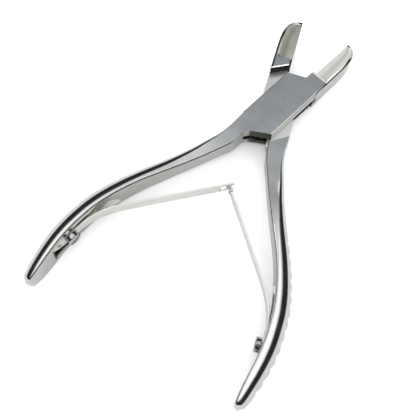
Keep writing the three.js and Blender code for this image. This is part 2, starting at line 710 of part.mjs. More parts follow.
const boxTurn = -OPEN_HALF_ANGLE;
const tangTurn = OPEN_HALF_ANGLE;
place("box_half", boxHalf(), boxTurn, STEEL);
place("tang_half", tangHalf(), tangTurn, STEEL);
place(
  "pivot_pin",
  rod(PIN_RADIUS, new THREE.Vector3(0, 0, 0), new THREE.Vector3(0, 0, BOX_THICKNESS)),
  boxTurn,
  STEEL,
);
place("left_leaf_spring", mirrorX(forkedLeaf()), boxTurn, SPRING_STEEL);
place("right_leaf_spring", ballLeaf(), tangTurn, SPRING_STEEL);
place("left_spring_screw", mirrorX(leafScrew()), boxTurn, DARK_STEEL);
place("right_spring_screw", leafScrew(), tangTurn, DARK_STEEL);
place("left_locating_pin", mirrorX(footPin()), boxTurn, DARK_STEEL);
place("right_locating_pin", footPin(), tangTurn, DARK_STEEL);

export default part;
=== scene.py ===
"""Box-joint nippers with a pair of leaf springs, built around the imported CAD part."""

import json
import math

import bmesh
import bpy
import numpy as np
from mathutils import Matrix, Vector


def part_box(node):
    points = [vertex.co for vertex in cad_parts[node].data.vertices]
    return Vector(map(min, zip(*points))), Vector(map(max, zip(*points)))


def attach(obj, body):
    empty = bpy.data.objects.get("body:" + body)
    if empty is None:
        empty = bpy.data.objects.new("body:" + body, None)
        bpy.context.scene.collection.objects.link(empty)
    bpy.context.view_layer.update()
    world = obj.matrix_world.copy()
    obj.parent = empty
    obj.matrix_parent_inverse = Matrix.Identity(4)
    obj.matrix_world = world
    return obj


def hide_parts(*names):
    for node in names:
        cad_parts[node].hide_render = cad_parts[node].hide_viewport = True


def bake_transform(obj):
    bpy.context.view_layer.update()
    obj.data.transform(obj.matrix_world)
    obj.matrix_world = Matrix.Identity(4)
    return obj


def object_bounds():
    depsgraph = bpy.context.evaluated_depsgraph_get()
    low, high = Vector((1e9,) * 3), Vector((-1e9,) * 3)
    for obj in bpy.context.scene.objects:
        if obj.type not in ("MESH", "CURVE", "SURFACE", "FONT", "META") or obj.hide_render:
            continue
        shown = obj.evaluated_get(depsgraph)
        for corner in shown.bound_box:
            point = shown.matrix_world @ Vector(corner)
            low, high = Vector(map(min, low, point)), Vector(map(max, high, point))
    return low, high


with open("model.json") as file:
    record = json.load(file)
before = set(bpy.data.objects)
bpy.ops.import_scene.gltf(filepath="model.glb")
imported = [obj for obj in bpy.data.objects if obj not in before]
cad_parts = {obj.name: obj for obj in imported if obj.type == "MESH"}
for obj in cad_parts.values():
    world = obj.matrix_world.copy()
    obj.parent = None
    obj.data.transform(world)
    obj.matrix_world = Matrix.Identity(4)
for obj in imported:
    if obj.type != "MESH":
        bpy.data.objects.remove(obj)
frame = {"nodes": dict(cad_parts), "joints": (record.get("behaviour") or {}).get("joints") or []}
CAD_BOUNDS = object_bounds()

# ---- sizes in millimetres; each half is drawn as it lies when the jaws are shut -----------------
MM = 0.001
PIVOT = next(j for j in frame["joints"] if j["name"] == "pivot")
OPEN_HALF = math.radians(-PIVOT["range_deg"][0] / 2)
THICK = (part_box("pivot_pin")[1].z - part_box("pivot_pin")[0].z) / MM
PIN_RADIUS = (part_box("pivot_pin")[1].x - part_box("pivot_pin")[0].x) / 2 / MM
MID = THICK / 2

HALF = 7.7  # half the width of the box
FRONT = 17.1  # pivot to the front of the box
REAR = 18.6
FRONT_CORNER = 13.5
REAR_CORNER = 13.2
FRONT_PARTING = -0.6
REAR_PARTING = -1.1
PARTING_GAP = 0.4
SLOT_LOW = 2.1
SLOT_HIGH = 5.0
SLOT_GAP = 0.3
SLOT_RADIUS = 15.0
STEP_AHEAD = 2.4
PIN_FIT = 0.006
RIM_WIDE = 0.8  # polished chamfer along the outer rim
RIM_DROP = 0.34
UNDERSIDE_TAPER = 0.9
NOTCH_RUN = 2.2
NOTCH_ROUND = 1.5
STEP_SLOPE = 0.52  # what the jaw step gains in the width that its cut passes on each side
STEP_EASE = 0.42  # chamfer along the top of the jaw step
FAR_RIM = (0.45, 0.21)  # chamfer along the box's other side, across and down
PIN_RUNNING_FIT = 0.07
ROOT_AT = 0.11  # share of the reach where a handle starts

JAW_REACH = 44.4
JAW_WIDTH = 7.8
JAW_SHOULDER = 21.5
EDGE_GAP = 0.15
EDGE_LAND = 1.2
RIM_WIDTH = 1.5
HOLLOW_BOX = 21.6
HOLLOW_TANG = 22.6
NOSE_HALF = 2.2
NOSE_START = 0.6  # share of the jaw's reach
HOLLOW_RUN = 1.6
HOLLOW_BELLY = 0.35
TIP_WIDTH = 0.35

REACH = 122.0
BOW = 21.8
SCALLOP_COUNT = 12
SCALLOP_PITCH = 4.7
SCALLOP_DEPTH = 1.0
SCALLOP_START = 58.0
SCALLOP_ROOM = 0.65  # kept for the ribs over the end of a screw
SCALLOP_HOLD = 0.86  # share of the back's width where the ribs begin

LEAF_WIDTH = 5.2
LEAF_THICKNESS = 0.8
LEAF_GAP = 0.3
LEAF_TIP_REACH = 41.9
FOOT_END = 0.872
SCREW_AT = 0.803
FOOT_BEND = 0.755
KNEE_AT = 0.69
FOOT_TAPER = 5.4  # from the end of the foot to its full width
FOOT_PIN_AT = 0.85
FOOT_PIN_RADIUS = 0.7
FOOT_PIN_HEAD = 0.35
CHANNEL_END = 0.884
CHANNEL_START = 0.6
CHANNEL_HEIGHT = 8.0
CHANNEL_LEAST = 0.5
CHANNEL_RUN = 6.0  # from the channel's start to its full depth
FORK_LENGTH = 6.0
FORK_OVERHANG = 2.2
BALL_RADIUS = 1.1
BALL_GAP = 0.3
NECK_RADIUS = 0.75
NECK_LENGTH = 3.4
COLLAR_RADIUS = 1.2
COLLAR_AT = 2.0
COLLAR_THICKNESS = 0.6
HEAD_RADIUS = 2.85
HEAD_HEIGHT = 2.1
SHANK_RADIUS = 1.4
SCREW_COVER = 3.0
PIN_COVER = 3.5
HOLE_FIT = 0.15
HOLE_END = 0.3  # past the end of a screw or pin
SLOT_HALF = 0.4  # half the width of a screw's slot
SLOT_DEPTH = 0.9
SLOT_TILT = math.radians(25)
HEAD_ROUND = 0.55

# Rows of (share of the reach, value), read with a smooth curve. The middle line is a share of the bow,
# and the top flats are a share of the width.
MIDDLE_LINE = [
    (ROOT_AT, 0.18), (0.165, 0.18), (0.215, 0.219), (0.27, 0.31), (0.33, 0.409), (0.4, 0.542),
    (0.46, 0.667), (0.52, 0.788), (0.576, 0.882), (0.64, 0.961), (0.695, 0.998), (0.74, 1.0),
    (0.79, 0.986), (0.845, 0.942), (0.9, 0.869), (0.945, 0.798), (0.975, 0.75), (1.0, 0.706),
]
WIDTHS = [
    (ROOT_AT, 7.5), (0.165, 7.5), (0.215, 7.5), (0.27, 7.25), (0.33, 6.76), (0.4, 6.45), (0.46, 6.4),
    (0.52, 6.4), (0.576, 6.54), (0.64, 6.73), (0.695, 6.82), (0.74, 6.87), (0.79, 6.9),
    (0.845, 6.83), (0.9, 6.5), (0.945, 5.8), (0.975, 4.83), (0.99, 3.8), (1.0, 1.8),
]
HEIGHTS = [
    (ROOT_AT, 8.99), (0.175, 8.99), (0.23, 7.85), (0.3, 7.4), (0.4, 8.12), (0.5, 9.62), (0.62, 11.48),
    (0.74, 13.02), (0.84, 13.4), (0.9, 12.9), (0.94, 11.7), (0.97, 9.9), (0.988, 8.0), (1.0, 5.5),
]
TOP_FLATS = [
    (ROOT_AT, 0.97), (0.15, 0.94), (0.19, 0.84), (0.25, 0.7), (0.35, 0.48), (0.45, 0.25), (0.55, 0.12),
    (0.65, 0.08), (1.0, 0.08),
]


def through(rows, at):
    """A smooth curve through the rows, read at a position."""
    xs = [r[0] for r in rows]
    ys = [r[1] for r in rows]
    if at <= xs[0]:
        return ys[0]
    if at >= xs[-1]:
        return ys[-1]
    i = max(k for k in range(len(xs)) if xs[k] <= at)

    def slope(k):
        low, high = max(0, k - 1), min(len(xs) - 1, k + 1)
        return (ys[high] - ys[low]) / (xs[high] - xs[low])

    span = xs[i + 1] - xs[i]
    t = (at - xs[i]) / span
    value = (2 * t**3 - 3 * t**2 + 1) * ys[i] + (t**3 - 2 * t**2 + t) * span * slope(i)
    return value + (3 * t**2 - 2 * t**3) * ys[i + 1] + (t**3 - t**2) * span * slope(i + 1)


def inner_at(share):
    return through(MIDDLE_LINE, share) * BOW - through(WIDTHS, share) / 2


def outer_at(share):
    return through(MIDDLE_LINE, share) * BOW + through(WIDTHS, share) / 2


# ---- meshes -------------------------------------------------------------------------------------
def mesh_object(name, verts, faces):
    mesh = bpy.data.meshes.new(name)
    mesh.from_pydata([tuple(v) for v in verts], [], [tuple(f) for f in faces])
    mesh.validate()
    obj = bpy.data.objects.new(name, mesh)
    bpy.context.scene.collection.objects.link(obj)
    outward(obj)
    return obj


def outward(obj):
    bm = bmesh.new()
    bm.from_mesh(obj.data)
    bmesh.ops.recalc_face_normals(bm, faces=bm.faces)
    if bm.calc_volume(signed=True) < 0:
        bmesh.ops.reverse_faces(bm, faces=bm.faces)
    bm.to_mesh(obj.data)
    bm.free()


def loft(name, rings):
    """Closed rings with the same number of corners, joined in order and capped."""
    corners = len(rings[0])
    verts = [p for ring in rings for p in ring]
    faces = []
    for r in range(len(rings) - 1):
        for c in range(corners):
            here, after = r * corners + c, r * corners + (c + 1) % corners
            faces.append((here, after, after + corners, here + corners))
    faces.append(tuple(range(corners)))
    last = (len(rings) - 1) * corners
    faces.append(tuple(range(last, last + corners)))
    return mesh_object(name, verts, faces)


def prism(name, outline, low, high):
    return loft(name, [[(x, y, low) for x, y in outline], [(x, y, high) for x, y in outline]])


def rod(name, radius, start, end, segments=64):
    start, end = Vector(start), Vector(end)
    turn = (end - start).to_track_quat("Z", "Y")
    rings = []
    for middle in (start, end):
        ring = []
        for k in range(segments):
            a = 2 * math.pi * k / segments
            ring.append(middle + turn @ Vector((radius * math.cos(a), radius * math.sin(a), 0)))
        rings.append(ring)
    return loft(name, rings)


def lathe(name, profile, start, direction, segments=64):
    """A profile of (radius, height) points turned about a line."""
    turn = Vector(direction).to_track_quat("Z", "Y")
    rings = []
    for radius, height in profile:
        ring = []
        for k in range(segments):
            a = 2 * math.pi * k / segments
            spot = Vector((radius * math.cos(a), radius * math.sin(a), height))
            ring.append(Vector(start) + turn @ spot)
        rings.append(ring)
    return loft(name, rings)


def bevel_edges(obj, width, segments, chosen):
    """Rounds the edges whose two end points satisfy chosen(a, b)."""
    bm = bmesh.new()
    bm.from_mesh(obj.data)
    edges = [e for e in bm.edges if chosen(e.verts[0].co, e.verts[1].co)]
    bmesh.ops.bevel(
        bm, geom=edges, offset=width, segments=segments, profile=0.5, affect="EDGES", clamp_overlap=True
    )
    bm.to_mesh(obj.data)
    bm.free()
    return obj


def combine(obj, other, operation):
    """Joins to, or cuts from, obj, and removes the other object."""
    modifier = obj.modifiers.new("combine", "BOOLEAN")
    modifier.operation = operation
    modifier.solver = "MANIFOLD"
    modifier.object = other
    baked = bpy.data.meshes.new_from_object(obj.evaluated_get(bpy.context.evaluated_depsgraph_get()))
    obj.modifiers.clear()
    obj.data = baked
    bpy.data.objects.remove(other)
    return obj


def join(obj, *others):
    for other in others:
        combine(obj, other, "UNION")
    return obj


def cut(obj, *others):
    for other in others:
        combine(obj, other, "DIFFERENCE")
    return obj


def keep(obj, other):
    return combine(obj, other, "INTERSECT")


def mirrored(obj):
    obj.data.transform(Matrix.Scale(-1, 4, (1, 0, 0)))
    outward(obj)
    return obj


# ---- handle -------------------------------------------------------------------------------------
EDGE = 0.5  # chamfer along the inner edge
BACK_STEPS = 22
TOP_FALL = 0.045  # slope of the top toward the outside, past the satin
END_ROUND = 1.7


def scallop(back):
    """Depth of the lobed grip at a distance behind the pivot."""
    along = (back - SCALLOP_START) / SCALLOP_PITCH
    if not -0.5 < along < SCALLOP_COUNT + 0.5:
        return 0.0
    lobe = abs(math.sin(math.pi * (along % 1.0)))
    fade = min(1.0, 2 * along + 1, 2 * (SCALLOP_COUNT - along) + 1)
    return SCALLOP_DEPTH * (1 - lobe**0.6) * fade


def handle(name, lobed):
    """A handle on the +X side: flat inside, rounded over the top and outside."""
    stops = list(np.arange(ROOT_AT * REACH, REACH - END_ROUND, 0.28 if lobed else 0.6))
    stops += [REACH - END_ROUND + END_ROUND * math.sin(math.pi / 2 * k / 14) for k in range(15)]
    rings = []
    for back in stops:
        share = back / REACH
        inner, outer = inner_at(share), outer_at(share)
        half = through(HEIGHTS, share) / 2
        into = max(0.0, (back - (REACH - END_ROUND)) / END_ROUND)
        close = math.sqrt(max(0.0, 1 - into * into)) * 0.94 + 0.06
        middle = (inner + outer) / 2
        inner, outer = middle + (inner - middle) * close, middle + (outer - middle) * close
        half *= 0.35 + 0.65 * close
        flat = inner + through(TOP_FLATS, share) * (outer - inner)
        edge = min(EDGE, 0.3 * (outer - inner))
        flat = max(flat, inner + edge)
        fall = TOP_FALL * min(1.0, max(0.0, (share - 0.18) / 0.14))
        drop = scallop(back) if lobed else 0.0
        upper = []
        for across, down in ((0.0, 1.0), (0.1, 0.8), (0.8, 0.1), (1.0, 0.0)):
            upper.append((inner + edge * across, half - edge * down))
        for k in range(1, BACK_STEPS + 1):
            a = math.pi / 2 * k / BACK_STEPS
            reach = math.sin(a)
            x = flat + (outer - flat) * reach
            cut_back = drop * max(0.0, (reach - SCALLOP_HOLD) / (1 - SCALLOP_HOLD)) ** 1.3
            lower = fall * (min(x, flat + 0.5) - inner - edge)
            upper.append((x - cut_back, (half - lower) * max(0.0, math.cos(a)) ** 0.92))
        ring = [(x, -back, MID + z) for x, z in upper]
        ring += [(x, -back, MID - z) for x, z in reversed(upper[:-1])]
        rings.append(ring)
    return loft(name, rings)


# ---- jaw ----------------------------------------------------------------------------------------
def jaw(name, hollow_start):
    """A jaw on the +X side, hollow ground above and below."""
    start, nose = FRONT - 3, NOSE_START * JAW_REACH
    stops = list(np.arange(start, nose, 0.35))
    stops += [nose + (JAW_REACH - nose) * math.sin(math.pi / 2 * k / 54) for k in range(55)]
    stops += [hollow_start + 0.01]
    rings = []
    for along in sorted(stops):
        into = max(0.0, (along - nose) / (JAW_REACH - nose))
        taper = max(0.0, 1 - into**3) ** 0.417
        outer = EDGE_GAP + TIP_WIDTH + (JAW_WIDTH - EDGE_GAP - TIP_WIDTH) * taper
        half = MID - (MID - NOSE_HALF) * into**4.2
        ground = min(1.0, max(0.0, (along - hollow_start) / HOLLOW_RUN))
        ground = ground * ground * (3 - 2 * ground)
        land = half + (min(EDGE_LAND, half) - half) * ground
        rim = max(EDGE_GAP + 0.3 * (outer - EDGE_GAP), outer - RIM_WIDTH * min(1.0, 0.45 + taper))
        wide = min(RIM_WIDE, 0.6 * (outer - rim))
        drop = RIM_DROP * wide / RIM_WIDE
        upper = []
        for k in range(19):
            t = k / 18
            rise = 0.42 * t + 0.58 * t**4
            belly = HOLLOW_BELLY * math.sin(math.pi * t) * ground
            upper.append((EDGE_GAP + (rim - EDGE_GAP) * t, land + (half - land) * rise - belly))
        upper += [(outer - wide, half), (outer - 0.1 * wide, half - drop)]
        upper.append((outer, half - drop - 0.12 * wide))
        ring = [(x, along, MID + z) for x, z in upper]
        ring += [(x, along, MID - z) for x, z in reversed(upper)]
        rings.append(ring)
    return loft(name, rings)


# ---- leaf path ----------------------------------------------------------------------------------
CHANNEL_STEPS = int((CHANNEL_END - CHANNEL_START) / 0.01)
CHANNEL_FLOOR = CHANNEL_LEAST + max(inner_at(CHANNEL_START + 0.01 * k) for k in range(CHANNEL_STEPS))
SCREW_END = outer_at(SCREW_AT) - SCALLOP_ROOM - SCREW_COVER
PIN_END = outer_at(FOOT_PIN_AT) - PIN_COVER
FOOT_X = CHANNEL_FLOOR - LEAF_GAP - LEAF_THICKNESS / 2


def flat_turn(x, y, angle):
    return Vector((x * math.cos(angle) - y * math.sin(angle), x * math.sin(angle) + y * math.cos(angle)))


TIP = flat_turn(0, -LEAF_TIP_REACH, -OPEN_HALF)


def leaf_path(overhang):
    """The middle line of the +X leaf from its foot to its tip, and the way it points there."""
    bend = Vector((FOOT_X, -FOOT_BEND * REACH))
    knee = Vector((FOOT_X, -KNEE_AT * REACH))
    away = (TIP - knee).normalized()
    out = knee + away * (knee - bend).length * 1.5
    line = [Vector((FOOT_X, y)) for y in np.linspace(-FOOT_END * REACH, bend.y, 12)[:-1]]
    for k in range(25):
        t = k / 24
        line.append(bend * (1 - t) ** 2 + knee * 2 * t * (1 - t) + out * t * t)
    end = TIP + away * overhang
    line += [out.lerp(end, (k + 1) / 40) for k in range(40)]
    return line, away


def leaf_strip(name, line):
    """A springy strip with rounded edges. The foot narrows to a tongue."""
    edge = 0.2
    rings = []
    for i, spot in enumerate(line):
        ahead = (line[min(i + 1, len(line) - 1)] - line[max(i - 1, 0)]).normalized()
        side = Vector((-ahead.y, ahead.x))
        half = LEAF_WIDTH / 2
        from_foot = spot.y + FOOT_END * REACH
        if from_foot < FOOT_TAPER and i < 14:
            half *= 0.5 + 0.5 * math.sin(math.pi / 2 * from_foot / FOOT_TAPER)
            if from_foot < 0.4:
                half *= 0.8
        ring = []
        for sx, sz, a0 in ((1, 1, 0), (-1, 1, 90), (-1, -1, 180), (1, -1, 270)):
            for k in range(4):
                a = math.radians(a0 + 30 * k)
                across = sx * (LEAF_THICKNESS / 2 - edge) + edge * math.cos(a)
                tall = sz * (half - edge) + edge * math.sin(a)
                ring.append((spot.x + side.x * across, spot.y + side.y * across, MID + tall))
        rings.append(ring)
    return loft(name, rings)


def across_leaf(name, away, start, end, low, high):
    side = Vector((-away.y, away.x)) * 3 * LEAF_THICKNESS
    near, far = TIP + away * start, TIP + away * end
    outline = [tuple(near + side), tuple(far + side), tuple(far - side), tuple(near - side)]
    return prism(name, outline, MID + low, MID + high)


def foot_rod(name, radius, share, start, end):
    y = -share * REACH
    return rod(name, radius, (start, y, MID), (end, y, MID), 40)


def drilled(leaf):
    screw = foot_rod("cut", SHANK_RADIUS + HOLE_FIT, SCREW_AT, FOOT_X - 2, FOOT_X + 2)
    pin = foot_rod("cut", FOOT_PIN_RADIUS + HOLE_FIT, FOOT_PIN_AT, FOOT_X - 2, FOOT_X + 2)
    return cut(leaf, screw, pin)


def forked_leaf(name):
    line, away = leaf_path(FORK_OVERHANG)
    leaf = drilled(leaf_strip(name, line))
    notch = BALL_RADIUS + BALL_GAP
    slot = across_leaf("cut", away, FORK_OVERHANG - FORK_LENGTH, FORK_OVERHANG + 1, -notch, notch)

    def at_the_root(a, b):
        clear_of_tip = min((a.xy - TIP).length, (b.xy - TIP).length) > 3
        return abs(a.z - b.z) < 1e-6 and clear_of_tip and min(a.y, b.y) < TIP.y

    return cut(leaf, bevel_edges(slot, 0.9, 4, at_the_root))


def ball_leaf(name):
    line, away = leaf_path(-NECK_LENGTH)
    leaf = drilled(leaf_strip(name, line))
    taper = 0.18 * LEAF_WIDTH
    for side in (1, -1):
        low, high = sorted((side * (LEAF_WIDTH / 2 - taper), side * LEAF_WIDTH))
        leaf = cut(leaf, across_leaf("cut", away, -NECK_LENGTH - 1.2, 1, low, high))
    out = Vector((away.x, away.y, 0))
    tip = Vector((TIP.x, TIP.y, MID))
    collar_back = -COLLAR_AT - COLLAR_THICKNESS
    profile = [
        (0.01, -NECK_LENGTH - 0.6), (NECK_RADIUS, -NECK_LENGTH - 0.5), (NECK_RADIUS, collar_back - 0.02),
        (COLLAR_RADIUS - 0.12, collar_back), (COLLAR_RADIUS, collar_back + 0.12),
        (COLLAR_RADIUS, -COLLAR_AT - 0.12), (COLLAR_RADIUS - 0.12, -COLLAR_AT),
        (0.62, -COLLAR_AT + 0.06), (0.5, -BALL_RADIUS - 0.35),
    ]
    start = math.acos(0.5 / BALL_RADIUS)
    for k in range(19):
        a = -start + (start + math.pi / 2) * k / 18
        profile.append((max(0.01, BALL_RADIUS * math.cos(a)), BALL_RADIUS * math.sin(a)))
    return join(leaf, lathe("ball", profile, tip, out, 40))


def leaf_screw(name):
    """A slotted cheese-head screw on the +X side, driven outward into the handle."""
    under = FOOT_X - LEAF_THICKNESS / 2 - LEAF_GAP
    face = under - HEAD_HEIGHT
    depth = SCREW_END - face
    profile = [(0.01, 0)]
    for k in range(7):
        a = math.pi / 2 * k / 6
        profile.append((HEAD_RADIUS - HEAD_ROUND * (1 - math.sin(a)), HEAD_ROUND * (1 - math.cos(a))))
    profile += [
        (HEAD_RADIUS, HEAD_HEIGHT - 0.15), (HEAD_RADIUS - 0.15, HEAD_HEIGHT),
        (SHANK_RADIUS, HEAD_HEIGHT), (SHANK_RADIUS, depth - 0.3), (SHANK_RADIUS - 0.3, depth), (0.01, depth),
    ]
    y = -SCREW_AT * REACH
    screw = lathe(name, profile, (face, y, MID), (1, 0, 0), 56)
    across = Vector((0, math.cos(SLOT_TILT), math.sin(SLOT_TILT)))
    up = Vector((0, -math.sin(SLOT_TILT), math.cos(SLOT_TILT)))
    rings = []
    for side in (-1.5, 1.5):
        ring = []
        for x, h in ((-1, -SLOT_HALF), (SLOT_DEPTH, -SLOT_HALF), (SLOT_DEPTH, SLOT_HALF), (-1, SLOT_HALF)):
            ring.append(Vector((face + x, y, MID)) + across * side * HEAD_RADIUS + up * h)
        rings.append(ring)
    return cut(screw, loft("cut", rings))


def foot_pin(name):
    start = FOOT_X - LEAF_THICKNESS / 2 - FOOT_PIN_HEAD
    depth = PIN_END - start
    wide = FOOT_PIN_RADIUS
    profile = [(0.01, 0), (wide - 0.25, 0.02), (wide - 0.08, 0.1), (wide, 0.24), (wide, depth), (0.01, depth)]
    return lathe(name, profile, (start, -FOOT_PIN_AT * REACH, MID), (1, 0, 0), 40)


def channel():
    """What is cut from a handle for its leaf, on the +X side."""
    start, end = -CHANNEL_START * REACH, -CHANNEL_END * REACH
    lip = inner_at(CHANNEL_START)
    opening = lip - 6
    outline = [(opening, start + 1), (lip, start)]
    for k in range(1, 13):
        t = k / 12
        outline.append((lip + (CHANNEL_FLOOR - lip) * (1 - (1 - t) ** 2.2), start - CHANNEL_RUN * t))
    outline += [(CHANNEL_FLOOR, end + 0.3), (opening, end - 0.2)]
    made = prism("cut", outline, MID - CHANNEL_HEIGHT / 2, MID + CHANNEL_HEIGHT / 2)
    screw = foot_rod("cut", SHANK_RADIUS + HOLE_FIT, SCREW_AT, CHANNEL_FLOOR - 1, SCREW_END + HOLE_END)
    pin = foot_rod("cut", FOOT_PIN_RADIUS + HOLE_FIT, FOOT_PIN_AT, CHANNEL_FLOOR - 1, PIN_END + HOLE_END)
    return join(made, screw, pin)


# ---- the two halves -----------------------------------------------------------------------------
FAR = 300.0  # past the end of everything
PAST_BOX = 46.0


def pin_hole(fit):
    return rod("cut", PIN_RADIUS + fit, (0, 0, -2), (0, 0, THICK + 2), 96)


def block(outline, low=-20.0, high=30.0):
    return prism("cut", outline, low, high)


def along_box(section, start, end):
    """A section of (x, z) points carried along the box."""
    return loft("cut", [[(x, y, z) for x, z in section] for y in (start, end)])


def rear_corner(x, y, radius):
    """The corner of the box's rear edge by the notch, rounded."""
    before = Vector((HALF, -REAR_CORNER))
    after = Vector((REAR_PARTING - PARTING_GAP / 2, -REAR - NOTCH_RUN))
    spot = Vector((x, y))
    start = spot + (before - spot).normalized() * radius
    end = spot + (after - spot).normalized() * radius
    return [tuple(start * (1 - t) ** 2 + spot * 2 * t * (1 - t) + end * t * t) for t in np.linspace(0, 1, 9)]


def box_half(name):
    left = FRONT_PARTING + PARTING_GAP / 2
    back = REAR_PARTING - PARTING_GAP / 2
    shoulder = [
        (left + 0.5 - 0.5 * math.cos(a), JAW_SHOULDER - 0.5 + 0.5 * math.sin(a))
        for a in np.linspace(0, math.pi / 2, 5)
    ]
    outline = [
        (-HALF, FRONT_CORNER), (left, FRONT), *shoulder, (JAW_WIDTH - 0.9, JAW_SHOULDER),
        (HALF, FRONT - 0.9), (HALF, -REAR_CORNER), *rear_corner(back + 1.0, -REAR, NOTCH_ROUND),
        (back, -REAR - NOTCH_RUN), (back, -REAR - NOTCH_RUN - 1), (-outer_at(ROOT_AT) + 1.4, -REAR - 1),
        (-HALF + 0.9, -REAR_CORNER - 0.8), (-HALF, -REAR_CORNER - 0.5),
    ]
    body = prism(name, outline, 0, THICK)
    rim = [
        (HALF - RIM_WIDE, THICK), (HALF - 0.1, THICK - RIM_DROP), (HALF, THICK - RIM_DROP - 0.1),
        (HALF + 1, THICK - RIM_DROP), (HALF + 1, THICK + 1), (HALF - RIM_WIDE, THICK + 1),
    ]
    across, down = FAR_RIM
    other = [
        (-HALF + across, THICK), (-HALF - 0.01, THICK - down), (-HALF - 1, THICK - down + 0.01),
        (-HALF - 1, THICK + 1), (-HALF + across, THICK + 1),
    ]
    body = cut(body, along_box(rim, -REAR_CORNER - 3, FRONT - 1.5))
    body = cut(body, along_box(other, -REAR_CORNER, FRONT_CORNER + 2))
    grip = mirrored(handle("grip", False))
    other_side = [(back, -REAR - NOTCH_RUN), (back, -FAR), (FAR, -FAR), (FAR, -REAR), (back + 1.0, -REAR)]
    grip = cut(grip, block(other_side), mirrored(channel()))
    body = join(body, jaw("jaw", HOLLOW_BOX), grip)
    wide = PARTING_GAP / 2
    slot = rod("cut", SLOT_RADIUS, (0, 0, SLOT_LOW), (0, 0, SLOT_HIGH), 128)
    seam = FRONT_PARTING + wide
    front = [(seam, 0), (seam, PAST_BOX), (-PAST_BOX, PAST_BOX), (-PAST_BOX, 0)]
    rear = [(back, 0), (back, -PAST_BOX), (PAST_BOX, -PAST_BOX), (PAST_BOX, 0)]
    slot = join(slot, prism("cut", front, SLOT_LOW, SLOT_HIGH), prism("cut", rear, SLOT_LOW, SLOT_HIGH))
    body = cut(body, slot, pin_hole(PIN_FIT))
    reach = math.sqrt(SLOT_RADIUS**2 - HALF**2)
    under = HALF - 0.1 - UNDERSIDE_TAPER
    lean = [(HALF + 1, -1), (HALF + 1, SLOT_LOW), (HALF - 0.1, SLOT_LOW), (under, 0), (under, -1)]
    return cut(body, along_box(lean, -REAR_CORNER, reach))


def tang_half(name):
    low, high = SLOT_LOW + SLOT_GAP, SLOT_HIGH - SLOT_GAP
    edge = -FRONT_PARTING + PARTING_GAP / 2
    turn = SLOT_RADIUS - PARTING_GAP
    outline = [(-HALF - 0.1, FRONT_CORNER + STEP_AHEAD + 1), (-HALF - 0.1, 0)]
    begin = math.asin((-REAR_PARTING - PARTING_GAP / 2) / turn)
    end = math.asin((HALF - 0.3) / turn)
    for k in range(24, -1, -1):
        a = begin + (end - begin) * k / 24
        outline.append((-turn * math.sin(a), -turn * math.cos(a)))
    outline += [
        (REAR_PARTING + PARTING_GAP / 2, -REAR), (inner_at(ROOT_AT) + 0.25, -REAR - 2),
        (outer_at(ROOT_AT), -REAR_CORNER - 3), (outer_at(ROOT_AT), -REAR_CORNER), (HALF - 0.5, -2),
    ]
    begin, end = math.asin((HALF - 0.5) / turn), -math.asin(edge / turn)
    for k in range(25):
        a = begin + (end - begin) * k / 24
        outline.append((turn * math.sin(a), turn * math.cos(a)))
    outline.append((-edge, FRONT + STEP_AHEAD + 1))
    body = prism(name, outline, low, high)
    front_left = FRONT_PARTING - PARTING_GAP / 2
    front_keep = block(
        [
            (front_left, FRONT + STEP_AHEAD), (front_left, JAW_SHOULDER + 0.4), (0, JAW_SHOULDER + 0.8),
            (0, FAR), (-FAR, FAR), (-FAR, FRONT_CORNER + STEP_AHEAD), (-HALF, FRONT_CORNER + STEP_AHEAD),
        ]
    )
    left = REAR_PARTING + PARTING_GAP / 2
    back = REAR_PARTING + 2 * PARTING_GAP
    rear_keep = block(
        [
            (left, -REAR - NOTCH_RUN), (back, -REAR - 0.6), (HALF, -REAR_CORNER - 0.6),
            (FAR, -REAR_CORNER - 0.6), (FAR, -FAR), (left, -FAR),
        ]
    )
    front = keep(mirrored(jaw("jaw", HOLLOW_TANG)), front_keep)
    step = [
        (-HALF - 1, FRONT_CORNER + STEP_AHEAD - STEP_SLOPE),
        (front_left + 1, FRONT + STEP_AHEAD + STEP_SLOPE),
    ]
    chamfer = [(-1, 1), (-1, -STEP_EASE - 1), (-0.01, -STEP_EASE), (STEP_EASE, -0.01), (STEP_EASE + 1, 1)]
    front = cut(front, loft("cut", [[(x, y + dy, THICK + dz) for dy, dz in chamfer] for x, y in step]))
    grip = cut(keep(handle("grip", True), rear_keep), channel())
    return cut(join(body, front, grip), pin_hole(PIN_RUNNING_FIT))


